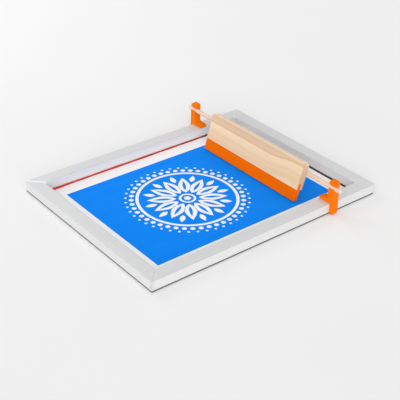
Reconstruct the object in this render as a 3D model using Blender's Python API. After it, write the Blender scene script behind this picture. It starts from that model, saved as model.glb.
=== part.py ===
"""Screen printing frame with a sliding squeegee rest.

A recessed screen lies on its mesh: four mitred hollow aluminium rails on internal corner keys, a
stretched mesh glued under them, and a film of emulsion on the mesh. Two hooks straddle the long
rails and hold a wooden dowel across the frame, and a wooden squeegee leans back on the dowel.

Frame of the part: origin at the middle of the underside, +X along the long rails, +Z up.
"Depth" always means the distance from a rail's outer face towards the middle of the frame.
"""
import math

import bmesh
import bpy
from mathutils import Matrix, Vector

MM = 0.001
CLEARANCE = 0.3 * MM

# Rails
FRAME_LENGTH = 380.0 * MM
FRAME_WIDTH = 293.5 * MM
RAIL_WIDTH = 20.0 * MM
RAIL_BASE = 1.8 * MM
RAIL_TOP = 16.0 * MM
RAIL_WALL = 1.5 * MM
RAIL_EDGE_RADIUS = 1.6 * MM
RAIL_CAVITY_RADIUS = 0.4 * MM
CORNER_RADIUS = 3.5 * MM
EDGE_SEGMENTS = 4
CORNER_SEGMENTS = 8

# Corner keys, which slide into the hollow rails
KEY_PLAY = 0.4 * MM
KEY_ARM = 38.0 * MM
KEY_CHAMFER = 2.0 * MM

# Mesh, the glue that holds it, and the emulsion on it
MESH_INSET = 4.0 * MM
MESH_THICKNESS = 0.6 * MM
GLUE_INSET = 1.0 * MM
GLUE_THICKNESS = 0.6 * MM
GLUE_TOE = 2.0 * MM
GLUE_BEAD_HEIGHT = 2.0 * MM
GLUE_BEAD_END_ANGLE = -160.0
GLUE_BEAD_REACH = 1.2 * MM
STENCIL_LENGTH = 297.0 * MM
STENCIL_WIDTH = 210.0 * MM
STENCIL_THICKNESS = 0.3 * MM
STENCIL_CENTRE = (-2.7 * MM, -1.6 * MM)
STENCIL_CORNER = 1.0 * MM

# Dowel across the frame
DOWEL_RADIUS = 3.175 * MM
DOWEL_LENGTH = 318.5 * MM
DOWEL_X = 106.1 * MM
DOWEL_Z = 38.4 * MM
DOWEL_CHAMFER = 0.5 * MM
DOWEL_SIDES = 32

# Hooks that hold the dowel on the long rails
HOOK_BACK = 112.0 * MM
HOOK_FRONT = 101.0 * MM
HOOK_BOTTOM = 0.8 * MM
HOOK_TOP = 49.3 * MM
HOOK_LEG = 4.6 * MM
HOOK_INNER_FACE = 4.8 * MM
HOOK_TOE = 19.5 * MM
HOOK_FOOT_ROOT = 5.4 * MM
HOOK_FOOT_TIP = 4.2 * MM
HOOK_TOE_RADIUS = 1.5 * MM
HOOK_FILLET = 1.5 * MM
HOOK_LEG_RADIUS = 2.5 * MM
HOOK_HEAD_RADIUS = 1.8 * MM
HOOK_UPPER_LIP_ANGLE = 112.0
HOOK_LOWER_LIP_ANGLE = 177.0
HOOK_BEAK_SETBACK = 0.8 * MM
HOOK_BEAK_FALL = 1.0 * MM
HOOK_BEAK_HEIGHT = 2.6 * MM
HOOK_BEAK_RADIUS = 0.8 * MM
HOOK_LIP_BEVEL = 0.6 * MM
HOOK_SOCKET_SEGMENTS = 20

# Squeegee: u runs across its thickness, away from the stencil, and w runs up its slope
SQUEEGEE_LEAN = math.radians(17.5)
SQUEEGEE_LENGTH = 193.0 * MM
SQUEEGEE_CENTRE_Y = -2.6 * MM
BLADE_THICKNESS = 4.5 * MM
BLADE_SET_FORWARD = 1.6 * MM
BLADE_HEIGHT = 25.7 * MM
BLADE_CORNER_RADIUS = 2.5 * MM
HANDLE_THICKNESS = 10.0 * MM
HANDLE_BOTTOM = 17.3 * MM
HANDLE_TOP = 56.2 * MM
HANDLE_EDGE_RADIUS = 1.6 * MM
HANDLE_CORNER_RADIUS = 5.5 * MM
GROOVE_TOP = 26.0 * MM
SCREW_COUNT = 3
SCREW_PITCH = 75.0 * MM
SCREW_HEIGHT = 21.5 * MM
SCREW_HEAD_RADIUS = 2.2 * MM
SCREW_SHANK_RADIUS = 1.1 * MM
SCREW_HEAD_DEPTH = 1.3 * MM
SCREW_LENGTH = 6.5 * MM
SCREW_SIDES = 20


def clear_scene():
    for item in list(bpy.data.objects):
        bpy.data.objects.remove(item, do_unlink=True)


def make_material(name, colour, roughness, metallic=0.0):
    material = bpy.data.materials.new(name)
    material.use_nodes = True
    shader = material.node_tree.nodes["Principled BSDF"]
    shader.inputs["Base Color"].default_value = (*colour, 1.0)
    shader.inputs["Roughness"].default_value = roughness
    shader.inputs["Metallic"].default_value = metallic
    return material


def add_object(name, shape, material=None, matrix=None):
    """Turn a bmesh into a named object with outward faces, and free the bmesh."""
    bmesh.ops.recalc_face_normals(shape, faces=shape.faces)
    mesh = bpy.data.meshes.new(name)
    shape.to_mesh(mesh)
    shape.free()
    if material:
        mesh.materials.append(material)
    item = bpy.data.objects.new(name, mesh)
    bpy.context.scene.collection.objects.link(item)
    if matrix:
        item.matrix_basis = matrix
    return item


def smooth(item, angle=35.0):
    item.data.shade_smooth()
    item.data.set_sharp_from_angle(angle=math.radians(angle))


def arc(centre, radius, start, end, segments):
    """Points on a circle from one angle to another, in degrees."""
    points = []
    for step in range(segments + 1):
        angle = math.radians(start + (end - start) * step / segments)
        points.append((centre[0] + radius * math.cos(angle), centre[1] + radius * math.sin(angle)))
    return points


def rounded_rectangle(low, high, radius, segments):
    """Counter-clockwise outline of a rectangle with rounded corners."""
    corners = (
        (high[0] - radius, low[1] + radius, -90.0),
        (high[0] - radius, high[1] - radius, 0.0),
        (low[0] + radius, high[1] - radius, 90.0),
        (low[0] + radius, low[1] + radius, 180.0),
    )
    points = []
    for x, y, start in corners:
        points += arc((x, y), radius, start, start + 90.0, segments)
    return points


def prism(outline, start, end, place):
    """Closed bmesh of an outline pushed along a third axis; place(a, b, along) gives the point."""
    shape = bmesh.new()
    rings = []
    for along in (start, end):
        rings.append([shape.verts.new(place(a, b, along)) for a, b in outline])
    count = len(outline)
    for index in range(count):
        after = (index + 1) % count
        shape.faces.new((rings[0][index], rings[0][after], rings[1][after], rings[1][index]))
    shape.faces.new(rings[0])
    shape.faces.new(rings[1])
    return shape


def upright(a, b, along):
    """Place for a prism whose outline is a plan view."""
    return (a, b, along)


def mitred_bar(outline, length, cavity=None):
    """Bar along X whose two ends are cut at 45 degrees; outlines hold (depth, height) points.

    Each end stops half a clearance short of the mitre plane. A cavity has as many points as the
    outline, and runs right through.
    """
    shape = bmesh.new()
    setback = 0.5 * CLEARANCE * math.sqrt(2.0)
    loops = []
    for points in (outline, cavity):
        if points is None:
            continue
        for side in (-1.0, 1.0):
            loops.append([
                shape.verts.new((side * (length / 2 - depth - setback), depth, height))
                for depth, height in points
            ])
    count = len(outline)
    for near, far in zip(loops[0::2], loops[1::2]):
        for index in range(count):
            after = (index + 1) % count
            shape.faces.new((near[index], near[after], far[after], far[index]))
    if cavity is None:
        shape.faces.new(loops[0])
        shape.faces.new(loops[1])
        return shape
    for outer, inner in ((loops[0], loops[2]), (loops[1], loops[3])):
        for index in range(count):
            after = (index + 1) % count
            shape.faces.new((outer[index], outer[after], inner[after], inner[index]))
    return shape


def boolean(item, cutter, operation):
    modifier = item.modifiers.new(operation.lower(), "BOOLEAN")
    modifier.operation = operation
    modifier.solver = "EXACT"
    modifier.object = cutter


def mark_cutter(item):
    item.hide_render = True
    item.display_type = "WIRE"


def side_matrix(side):
    """Place of a bar modelled along the near long side, for each of the four sides."""
    turn, shift = {
        "near": (0.0, (0.0, -FRAME_WIDTH / 2)),
        "right": (90.0, (FRAME_LENGTH / 2, 0.0)),
        "far": (180.0, (0.0, FRAME_WIDTH / 2)),
        "left": (-90.0, (-FRAME_LENGTH / 2, 0.0)),
    }[side]
    return Matrix.Translation((*shift, 0.0)) @ Matrix.Rotation(math.radians(turn), 4, "Z")


SIDE_LENGTHS = {
    "near": FRAME_LENGTH,
    "right": FRAME_WIDTH,
    "far": FRAME_LENGTH,
    "left": FRAME_WIDTH,
}


def build_rails(material):
    plan = rounded_rectangle(
        (-FRAME_LENGTH / 2, -FRAME_WIDTH / 2), (FRAME_LENGTH / 2, FRAME_WIDTH / 2),
        CORNER_RADIUS, CORNER_SEGMENTS)
    envelope = add_object("rail_envelope", prism(plan, 0.0, 2 * RAIL_TOP, upright))
    mark_cutter(envelope)
    outline = rounded_rectangle(
        (0.0, RAIL_BASE), (RAIL_WIDTH, RAIL_TOP), RAIL_EDGE_RADIUS, EDGE_SEGMENTS)
    cavity = rounded_rectangle(
        (RAIL_WALL, RAIL_BASE + RAIL_WALL), (RAIL_WIDTH - RAIL_WALL, RAIL_TOP - RAIL_WALL),
        RAIL_CAVITY_RADIUS, EDGE_SEGMENTS)
    for side, length in SIDE_LENGTHS.items():
        rail = add_object(f"rail_{side}", mitred_bar(outline, length, cavity), material, side_matrix(side))
        boolean(rail, envelope, "INTERSECT")
        smooth(rail)


def build_corner_keys(material):
    inner = RAIL_WALL + KEY_PLAY
    outer = RAIL_WIDTH - RAIL_WALL - KEY_PLAY
    plan = [
        (inner + KEY_CHAMFER, inner),
        (KEY_ARM, inner),
        (KEY_ARM, outer),
        (outer, outer),
        (outer, KEY_ARM),
        (inner, KEY_ARM),
        (inner, inner + KEY_CHAMFER),
    ]
    low = RAIL_BASE + inner
    high = RAIL_TOP - inner
    corners = {"near_left": (-1, -1), "near_right": (1, -1), "far_right": (1, 1), "far_left": (-1, 1)}
    for name, (x_side, y_side) in corners.items():
        def place(a, b, along, x_side=x_side, y_side=y_side):
            return (x_side * (FRAME_LENGTH / 2 - a), y_side * (FRAME_WIDTH / 2 - b), along)

        add_object(f"corner_key_{name}", prism(plan, low, high, place), material)


def build_mesh_and_glue(fabric, glue):
    half = (FRAME_LENGTH / 2 - MESH_INSET, FRAME_WIDTH / 2 - MESH_INSET)
    plan = rounded_rectangle((-half[0], -half[1]), half, CORNER_RADIUS, EDGE_SEGMENTS)
    add_object("screen_mesh", prism(plan, 0.0, MESH_THICKNESS, upright), fabric)

    low = MESH_THICKNESS + CLEARANCE
    high = low + GLUE_THICKNESS
    bead_foot = RAIL_WIDTH + GLUE_TOE
    bead_back = RAIL_WIDTH + CLEARANCE
    section = [(GLUE_INSET, low), (bead_foot, low)]
    bead_centre = (bead_foot, high + GLUE_BEAD_HEIGHT)
    section += arc(bead_centre, bead_foot - bead_back, -90.0, GLUE_BEAD_END_ANGLE, EDGE_SEGMENTS)
    section += [(bead_back, high + GLUE_BEAD_REACH), (bead_back, high), (GLUE_INSET, high)]
    for side, length in SIDE_LENGTHS.items():
        add_object(f"glue_line_{side}", mitred_bar(section, length), glue, side_matrix(side))


def build_stencil(material):
    x, y = STENCIL_CENTRE
    low = MESH_THICKNESS + CLEARANCE
    plan = rounded_rectangle(
        (x - STENCIL_LENGTH / 2, y - STENCIL_WIDTH / 2),
        (x + STENCIL_LENGTH / 2, y + STENCIL_WIDTH / 2),
        STENCIL_CORNER, EDGE_SEGMENTS)
    film = prism(plan, low, low + STENCIL_THICKNESS, upright)
    add_object("emulsion_stencil", film, material)


def build_dowel(material):
    """Dowel along Y, with its origin on its own axis."""
    shape = bmesh.new()
    half = DOWEL_LENGTH / 2
    rings = (
        (-half, DOWEL_RADIUS - DOWEL_CHAMFER),
        (-half + DOWEL_CHAMFER, DOWEL_RADIUS),
        (half - DOWEL_CHAMFER, DOWEL_RADIUS),
        (half, DOWEL_RADIUS - DOWEL_CHAMFER),
    )
    loops = []
    for y, radius in rings:
        points = arc((0.0, 0.0), radius, 0.0, 360.0, DOWEL_SIDES)[:-1]
        loops.append([shape.verts.new((x, y, z)) for x, z in points])
    for first, second in zip(loops, loops[1:]):
        for index in range(DOWEL_SIDES):
            after = (index + 1) % DOWEL_SIDES
            shape.faces.new((first[index], first[after], second[after], second[index]))
    shape.faces.new(loops[0])
    shape.faces.new(loops[-1])
    smooth(add_object("dowel", shape, material, Matrix.Translation((DOWEL_X, 0.0, DOWEL_Z))))


def hook_front_view():
    """Outline of a hook in (x, z): a leg, and a beak that curls over the dowel from behind.

    The mouth of the socket faces forwards and up, and widens towards the front.
    """
    leg = HOOK_LEG_RADIUS
    head = HOOK_HEAD_RADIUS
    beak = HOOK_BEAK_RADIUS
    beak_front = HOOK_FRONT + HOOK_BEAK_SETBACK
    beak_top = HOOK_TOP - HOOK_BEAK_FALL
    points = arc((HOOK_BACK - leg, HOOK_BOTTOM + leg), leg, -90.0, 0.0, EDGE_SEGMENTS)
    points += arc((HOOK_BACK - head, HOOK_TOP - head), head, 0.0, 90.0, EDGE_SEGMENTS)
    points += arc((beak_front + beak, beak_top - beak), beak, 90.0, 180.0, EDGE_SEGMENTS)
    points.append((beak_front, beak_top - HOOK_BEAK_HEIGHT))
    points += arc(
        (DOWEL_X, DOWEL_Z), DOWEL_RADIUS + CLEARANCE, HOOK_UPPER_LIP_ANGLE, HOOK_LOWER_LIP_ANGLE - 360.0,
        HOOK_SOCKET_SEGMENTS)
    points.append((HOOK_FRONT, points[-1][1] - HOOK_LIP_BEVEL))
    points += arc((HOOK_FRONT + leg, HOOK_BOTTOM + leg), leg, 180.0, 270.0, EDGE_SEGMENTS)
    return points


def hook_side_view():
    """Outline of a hook in (depth, z): the leg outside the rail, and the foot on top of it."""
    rest = RAIL_TOP + CLEARANCE
    outer = -CLEARANCE - HOOK_LEG
    toe = HOOK_TOE_RADIUS
    fillet = HOOK_FILLET
    points = [
        (outer, HOOK_BOTTOM - MM),
        (-CLEARANCE, HOOK_BOTTOM - MM),
        (-CLEARANCE, rest),
        (HOOK_TOE, rest),
    ]
    points += arc((HOOK_TOE - toe, rest + HOOK_FOOT_TIP - toe), toe, 0.0, 85.0, EDGE_SEGMENTS)
    points += arc(
        (HOOK_INNER_FACE + fillet, rest + HOOK_FOOT_ROOT + fillet), fillet, -95.0, -180.0, EDGE_SEGMENTS)
    points += [(HOOK_INNER_FACE, HOOK_TOP + MM), (outer, HOOK_TOP + MM)]
    return points


def build_hooks(material):
    front = hook_front_view()
    side_view = hook_side_view()
    face = FRAME_WIDTH / 2
    for name, y_side in (("near", -1), ("far", 1)):
        def place_side(a, b, along, y_side=y_side):
            return (along, y_side * (face - a), b)

        def place_front(a, b, along, y_side=y_side):
            return (a, y_side * along, b)

        body = prism(side_view, HOOK_FRONT - MM, HOOK_BACK + MM, place_side)
        hook = add_object(f"dowel_hook_{name}", body, material)
        outline = prism(front, face - HOOK_TOE - MM, face + HOOK_LEG + MM, place_front)
        cutter = add_object(f"hook_outline_{name}", outline)
        mark_cutter(cutter)
        boolean(hook, cutter, "INTERSECT")
        smooth(hook)


def squeegee_matrix():
    """Frame of the squeegee: local x is u, local z is w, and the origin is under the blade.

    The rear edge of the blade stands on the emulsion, and the back of the handle on the dowel.
    """
    rear = BLADE_THICKNESS / 2 - BLADE_SET_FORWARD
    emulsion_top = MESH_THICKNESS + CLEARANCE + STENCIL_THICKNESS
    z = emulsion_top + CLEARANCE + rear * math.sin(SQUEEGEE_LEAN)
    reach = (DOWEL_Z - z) * math.sin(SQUEEGEE_LEAN)
    reach += HANDLE_THICKNESS / 2 + DOWEL_RADIUS + CLEARANCE
    x = DOWEL_X - reach / math.cos(SQUEEGEE_LEAN)
    place = Matrix.Translation((x, SQUEEGEE_CENTRE_Y, z))
    return place @ Matrix.Rotation(SQUEEGEE_LEAN, 4, "Y")


def turned(profile, sides):
    """Closed bmesh of a (height, radius) profile turned about the local X axis."""
    shape = bmesh.new()
    loops = []
    for height, radius in profile:
        points = arc((0.0, 0.0), radius, 0.0, 360.0, sides)[:-1]
        loops.append([shape.verts.new((height, y, z)) for y, z in points])
    for first, second in zip(loops, loops[1:]):
        for index in range(sides):
            after = (index + 1) % sides
            shape.faces.new((first[index], first[after], second[after], second[index]))
    shape.faces.new(loops[0])
    shape.faces.new(loops[-1])
    return shape


def screw_profile(play):
    """Countersunk screw from its tip to its flush head, as (u, radius), grown by some play."""
    back = HANDLE_THICKNESS / 2
    tip = back - SCREW_LENGTH - play
    return [
        (tip, SCREW_SHANK_RADIUS + play),
        (back - SCREW_HEAD_DEPTH - play, SCREW_SHANK_RADIUS + play),
        (back + play, SCREW_HEAD_RADIUS + play),
    ]


def squeegee_front_view(low, high, radius, margin):
    """Plate in (y, w) that rounds the squeegee's corners; it is wide enough for either part."""
    half = SQUEEGEE_LENGTH / 2
    outline = rounded_rectangle((-half, low), (half, high), radius, EDGE_SEGMENTS)

    def along_u(a, b, along):
        return (along, a, b)

    return prism(outline, -margin, margin, along_u)


def build_squeegee(wood, rubber, steel):
    place = squeegee_matrix()
    half = SQUEEGEE_LENGTH / 2

    def along_y(a, b, along):
        return (a, along, b)

    outer = HANDLE_THICKNESS / 2
    groove_low = -BLADE_SET_FORWARD - BLADE_THICKNESS / 2 - CLEARANCE
    groove_high = -BLADE_SET_FORWARD + BLADE_THICKNESS / 2 + CLEARANCE
    radius = HANDLE_EDGE_RADIUS
    section = [
        (groove_high, GROOVE_TOP),
        (groove_high, HANDLE_BOTTOM),
        (outer, HANDLE_BOTTOM),
    ]
    section += arc((outer - radius, HANDLE_TOP - radius), radius, 0.0, 90.0, EDGE_SEGMENTS)
    section += arc((-outer + radius, HANDLE_TOP - radius), radius, 90.0, 180.0, EDGE_SEGMENTS)
    section += [
        (-outer, HANDLE_BOTTOM),
        (groove_low, HANDLE_BOTTOM),
        (groove_low, GROOVE_TOP),
    ]
    handle = add_object("squeegee_handle", prism(section, -half - MM, half + MM, along_y), wood, place)
    strip = [
        (groove_low + CLEARANCE, 0.0),
        (groove_high - CLEARANCE, 0.0),
        (groove_high - CLEARANCE, BLADE_HEIGHT),
        (groove_low + CLEARANCE, BLADE_HEIGHT),
    ]
    blade = add_object("squeegee_blade", prism(strip, -half - MM, half + MM, along_y), rubber, place)
    below = HANDLE_BOTTOM - HANDLE_CORNER_RADIUS - MM
    above = BLADE_HEIGHT + BLADE_CORNER_RADIUS + MM
    handle_view = squeegee_front_view(below, HANDLE_TOP, HANDLE_CORNER_RADIUS, HANDLE_THICKNESS)
    blade_view = squeegee_front_view(0.0, above, BLADE_CORNER_RADIUS, HANDLE_THICKNESS)
    for item, view in ((handle, handle_view), (blade, blade_view)):
        cutter = add_object(f"{item.name}_view", view, None, place)
        mark_cutter(cutter)
        boolean(item, cutter, "INTERSECT")

    for index in range(SCREW_COUNT):
        y = (index - (SCREW_COUNT - 1) / 2) * SCREW_PITCH
        spot = place @ Matrix.Translation(Vector((0.0, y, SCREW_HEIGHT)))
        screw = turned(screw_profile(0.0), SCREW_SIDES)
        smooth(add_object(f"blade_screw_{index + 1}", screw, steel, spot))
        hole = turned(screw_profile(CLEARANCE), SCREW_SIDES)
        cutter = add_object(f"screw_hole_{index + 1}", hole, None, spot)
        mark_cutter(cutter)
        boolean(handle, cutter, "DIFFERENCE")
        boolean(blade, cutter, "DIFFERENCE")
    smooth(handle)
    smooth(blade)


def main():
    clear_scene()
    aluminium = make_material("satin_aluminium", (0.78, 0.78, 0.79), 0.42, 1.0)
    nylon = make_material("grey_nylon", (0.20, 0.20, 0.21), 0.6)
    fabric = make_material("white_mesh", (0.88, 0.88, 0.87), 0.7)
    glue = make_material("red_glue", (0.45, 0.03, 0.03), 0.5)
    emulsion = make_material("blue_emulsion", (0.01, 0.19, 0.90), 0.45)
    pine = make_material("pine", (0.84, 0.66, 0.46), 0.6)
    orange_plastic = make_material("orange_plastic", (0.95, 0.23, 0.01), 0.5)
    orange_rubber = make_material("orange_rubber", (0.88, 0.18, 0.01), 0.55)
    steel = make_material("zinc_steel", (0.62, 0.62, 0.60), 0.35, 1.0)

    build_rails(aluminium)
    build_corner_keys(nylon)
    build_mesh_and_glue(fabric, glue)
    build_stencil(emulsion)
    build_dowel(pine)
    build_hooks(orange_plastic)
    build_squeegee(pine, orange_rubber, steel)


main()
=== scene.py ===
"""Looks of a screen printing frame: aluminium rails, stencilled mesh, and a squeegee on its rest.

Lengths are in metres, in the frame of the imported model: the origin is the middle of the
underside, +X runs along the long rails, and +Z is up. Places and outer sizes are read from the
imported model, and the values named below are the details that it doesn't hold.

A bar or bead that lies along a side of the frame is modelled along X, with "depth" as its Y:
the distance from the rail's outer face towards the middle of the frame.
"""
import math

import bmesh
import bpy
from mathutils import Matrix, Vector, noise


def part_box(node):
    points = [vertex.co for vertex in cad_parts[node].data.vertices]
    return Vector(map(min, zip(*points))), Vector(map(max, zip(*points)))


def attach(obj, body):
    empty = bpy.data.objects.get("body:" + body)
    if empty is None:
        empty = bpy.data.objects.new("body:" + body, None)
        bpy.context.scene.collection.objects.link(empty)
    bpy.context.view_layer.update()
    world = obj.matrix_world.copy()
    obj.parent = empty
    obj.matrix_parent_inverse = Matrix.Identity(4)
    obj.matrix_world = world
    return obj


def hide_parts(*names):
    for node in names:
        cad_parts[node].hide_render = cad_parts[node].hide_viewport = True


MM = 0.001
CLEARANCE = 0.3 * MM

# Camera, floor and light
CAMERA_PLACE = (-0.7095, -0.8711, 0.6662)
CAMERA_AZIMUTH = 39.13
CAMERA_ELEVATION = 31.13
CAMERA_ROLL = 1.18
CAMERA_LENS = 85.285
CAMERA_CLIP = (0.01, 50.0)
FLOOR_SIZE = 12.0
FLOOR_DROP = 0.2 * MM
WORLD_STRENGTH = 0.61

# Place, target, diameter and power of each round soft light
SOFTBOXES = {
    "front_softbox": ((-3.1, -3.8, 1.5), (0.0, 0.0, 0.0), 6.5, 275.0),
    "back_softbox": ((-0.2, 1.3, 0.95), (0.0, 0.4, 0.0), 1.2, 5.6),
    "right_softbox": ((1.7, 0.2, 0.8), (0.2, 0.1, 0.0), 1.2, 3.2),
}

# Segments of each rounded edge that has no count of its own
EDGE_SEGMENTS = 8

# Edges sharper than this stay sharp in the shading, in degrees
SHARP_ANGLE = 50.0

# Rails
RAIL_WALL = 1.5 * MM
RAIL_EDGE_RADIUS = 1.6 * MM
RAIL_CAVITY_RADIUS = 0.8 * MM
RAIL_CORNER_RADIUS = 3.5 * MM
RAIL_CORNER_SEGMENTS = 16
MITRE_GAP = 0.12 * MM
MITRE_SOFTENING = 0.25 * MM
RAIL_GRAIN_SHIFT = (7.3, 3.1, 1.7)

# The mitres are ground bright and carry a painted highlight, over this width, by these shares at
# each bar's -X and +X end
GROUND_AND_GLINT_WIDTH = 4.5 * MM
GROUND_AND_GLINT_ENDS = {
    "near": (0.05, 0.10),
    "right": (0.10, 0.15),
    "far": (0.15, 0.95),
    "left": (0.35, 0.05),
}

# Mesh, film and glue
MESH_THREADS_PER_METRE = 4300.0
MESH_CORNER_RADIUS = 3.5 * MM
MESH_TO_FILM = 0.02 * MM
FILM_UNDERSIDE = 0.1 * MM
FILM_CORNER_RADIUS = 0.8 * MM
FILM_CORNER_SEGMENTS = 4
FILM_WELD = 0.001 * MM
GLUE_INSET = 1.0 * MM
# The glue's near-black lip hangs down to this height as painted contact shade
GLUE_LIP_BASE = 0.15 * MM
GLUE_TO_RAIL = 0.1 * MM
GLUE_TOE = 1.4 * MM
GLUE_RISE = 1.5 * MM
GLUE_STEP = 2.0 * MM
GLUE_END_LUMP = 35.0 * MM
GLUE_ROUNDNESS = 0.8
GLUE_SEED_STEP = 3.7
GLUE_BLOTCH_SHIFT = 5.1

# Ornament cut out of the film
ORNAMENT_CENTRE = (-24.9 * MM, -2.6 * MM)
RING_INNER = 66.5 * MM
RING_OUTER = 71.0 * MM
RING_POINTS = 128
BEAD_COUNT = 44
BEAD_CIRCLE = 76.6 * MM
BEAD_RADIUS = 3.5 * MM
BEAD_POINTS = 20
SMALL_BEAD_CIRCLE = 84.4 * MM
SMALL_BEAD_RADIUS = 2.0 * MM
SMALL_BEAD_POINTS = 14
PETAL_COUNT = 12

# Start, end and width of each kind of leaf, and radius and point count of the circles in the middle
PETAL = (15.0 * MM, 56.0 * MM, 17.0 * MM)
PETAL_HEART = (22.0 * MM, 47.0 * MM, 4.5 * MM)
SMALL_LEAF = (44.0 * MM, 62.0 * MM, 8.0 * MM)
LEAF_STEPS = 14
HUB_CIRCLES = ((12.0 * MM, 48), (8.5 * MM, 48), (5.0 * MM, 32))

# Dowel
DOWEL_TIP_RADIUS = 0.8 * MM
DOWEL_TIP_SEGMENTS = 6
DOWEL_WEAR = 0.03 * MM
DOWEL_STATIONS = 60
DOWEL_SIDES = 48

# Squeegee: u runs across its thickness, towards the dowel, and w runs up its slope
SQUEEGEE_LEAN = math.radians(17.5)
BLADE_THICKNESS = 4.5 * MM
BLADE_SET_FORWARD = 1.6 * MM
BLADE_HEIGHT = 25.7 * MM
BLADE_CORNER_RADIUS = 2.5 * MM
BLADE_EDGE_RADIUS = 0.4 * MM
BLADE_EDGE_SEGMENTS = 5
BLADE_END_SOFTENING = 0.25 * MM
HANDLE_THICKNESS = 10.0 * MM
HANDLE_BOTTOM = 17.3 * MM
HANDLE_TOP = 56.2 * MM
HANDLE_EDGE_RADIUS = 1.6 * MM
HANDLE_CORNER_RADIUS = 5.5 * MM
HANDLE_SOFTENING = 0.5 * MM
SQUEEGEE_CORNER_SEGMENTS = 10
GROOVE_TOP = 26.0 * MM

# Screws, with a cross recess in each head
SCREW_NUMBERS = (1, 2, 3)
SCREW_HEIGHT = 21.5 * MM
SCREW_HEAD_RADIUS = 2.2 * MM
SCREW_SHANK_RADIUS = 1.1 * MM
SCREW_HEAD_DEPTH = 1.3 * MM
SCREW_HEAD_RIM = 0.15 * MM
SCREW_LENGTH = 6.5 * MM
SCREW_SOFTENING = 0.06 * MM
SCREW_SIDES = 40
SCREW_HOLE_SIDES = 32
RECESS_REACH = 1.35 * MM
RECESS_HALF_WIDTH = 0.27 * MM
RECESS_DEPTH = 0.8 * MM

# Grain of the handle: its dark ring bows upwards between these places along the handle, and near
# the end it is painted shade under the rounded top edge
PINE_BOW_START = -28.0 * MM
PINE_BOW_END = -82.0 * MM
PINE_BOW = 6.5 * MM

# Colours of its growth rings, by height as a share of the span; the dark ring at 0.625 is partly
# painted shade
PINE_RING_SPAN = 80.0 * MM
PINE_RINGS = (
    (0.26, (0.890, 0.650, 0.418)),
    (0.32, (0.830, 0.555, 0.344)),
    (0.37, (0.830, 0.572, 0.354)),
    (0.41, (0.865, 0.606, 0.376)),
    (0.45, (0.815, 0.571, 0.360)),
    (0.50, (0.880, 0.637, 0.410)),
    (0.56, (0.910, 0.665, 0.432)),
    (0.595, (0.910, 0.665, 0.432)),
    (0.625, (0.640, 0.420, 0.260)),
    (0.650, (0.770, 0.510, 0.326)),
    (0.74, (0.705, 0.465, 0.292)),
)

# Hooks: the inner face and the toe are depths, and the foot's two heights are above the rail
HOOK_LEG = 4.6 * MM
HOOK_INNER_FACE = 4.8 * MM
HOOK_TOE = 19.5 * MM
HOOK_FOOT_ROOT = 5.4 * MM
HOOK_FOOT_TIP = 4.2 * MM
HOOK_TOE_RADIUS = 1.5 * MM
HOOK_FILLET = 1.5 * MM
HOOK_LEG_RADIUS = 2.5 * MM
HOOK_LEG_SEGMENTS = 10
HOOK_HEAD_RADIUS = 1.8 * MM
HOOK_UPPER_LIP_ANGLE = 112.0
HOOK_LOWER_LIP_ANGLE = 177.0
HOOK_BEAK_SETBACK = 0.8 * MM
HOOK_BEAK_FALL = 1.0 * MM
HOOK_BEAK_HEIGHT = 2.6 * MM
HOOK_BEAK_RADIUS = 0.8 * MM
HOOK_BEAK_SEGMENTS = 6
HOOK_SOCKET_SEGMENTS = 36
HOOK_LIP_BEVEL = 0.6 * MM
HOOK_EDGE_RADIUS = 0.45 * MM

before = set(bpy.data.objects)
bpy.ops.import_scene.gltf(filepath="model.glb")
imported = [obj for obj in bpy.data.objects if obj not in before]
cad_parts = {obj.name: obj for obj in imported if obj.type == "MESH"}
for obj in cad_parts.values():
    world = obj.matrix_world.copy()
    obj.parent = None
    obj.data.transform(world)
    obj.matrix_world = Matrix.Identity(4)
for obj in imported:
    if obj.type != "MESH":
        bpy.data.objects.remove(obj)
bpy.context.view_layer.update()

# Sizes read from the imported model
near_rail_low, near_rail_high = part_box("rail_near")
left_rail_low, left_rail_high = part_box("rail_left")
far_rail_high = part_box("rail_far")[1]
right_rail_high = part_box("rail_right")[1]
frame_length = right_rail_high.x - left_rail_low.x
frame_width = far_rail_high.y - near_rail_low.y
rail_width = left_rail_high.x - left_rail_low.x
rail_base = near_rail_low.z
rail_top = near_rail_high.z
SIDE_LENGTHS = {
    "near": frame_length,
    "right": frame_width,
    "far": frame_length,
    "left": frame_width,
}

mesh_low, mesh_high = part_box("screen_mesh")
film_low, film_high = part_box("emulsion_stencil")
mesh_inset = mesh_low.x - left_rail_low.x

dowel_low, dowel_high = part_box("dowel")
dowel_centre = (dowel_low + dowel_high) / 2
dowel_radius = (dowel_high.z - dowel_low.z) / 2
dowel_length = dowel_high.y - dowel_low.y

handle_low, handle_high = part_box("squeegee_handle")
squeegee_length = handle_high.y - handle_low.y


# ---------------------------------------------------------------- outlines and solids

def arc(centre, radius, start, end, segments):
    """Points on a circle from one angle to another, in degrees."""
    points = []
    for step in range(segments + 1):
        angle = math.radians(start + (end - start) * step / segments)
        points.append((centre[0] + radius * math.cos(angle), centre[1] + radius * math.sin(angle)))
    return points


def rounded_rectangle(low, high, radius, segments):
    """Counter-clockwise outline of a rectangle with rounded corners."""
    corners = (
        (high[0] - radius, low[1] + radius, -90.0),
        (high[0] - radius, high[1] - radius, 0.0),
        (low[0] + radius, high[1] - radius, 90.0),
        (low[0] + radius, low[1] + radius, 180.0),
    )
    points = []
    for x, y, start in corners:
        points += arc((x, y), radius, start, start + 90.0, segments)
    return points


def band(shape, first, second):
    """Faces between two closed loops with as many vertices each."""
    count = len(first)
    for index in range(count):
        after = (index + 1) % count
        shape.faces.new((first[index], first[after], second[after], second[index]))


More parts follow.
